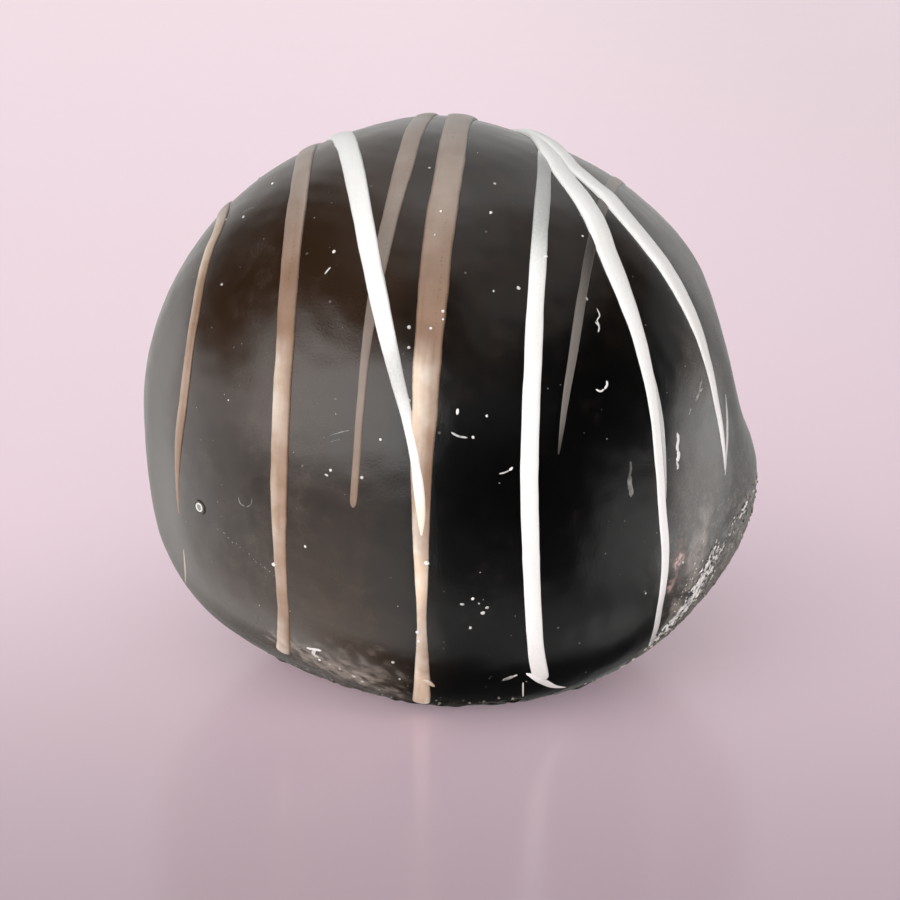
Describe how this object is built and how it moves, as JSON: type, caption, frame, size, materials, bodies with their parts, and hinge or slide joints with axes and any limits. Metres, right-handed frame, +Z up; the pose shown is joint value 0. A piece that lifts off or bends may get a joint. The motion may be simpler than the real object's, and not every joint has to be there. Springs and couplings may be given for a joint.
{
  "type": "chocolate praline",
  "caption": "Round dark chocolate praline on a small flat foot, with thin lines of milk and white chocolate drizzled over it from back to front.",
  "frame": {"origin": "centre of the flat foot that the praline rests on", "axes": "+Z up through the ball, -Y towards the shown side, +X to the right of the shown side"},
  "size_m": [0.0322, 0.0316, 0.0292],
  "materials": {
    "dark_chocolate": "near-black brown tempered chocolate, satin gloss with a faint grey bloom",
    "milk_chocolate": "pale milk chocolate drizzle, satin",
    "white_chocolate": "white chocolate drizzle, satin"
  },
  "bodies": {
    "root": {"praline": "dark_chocolate"}
  },
  "joints": []
}
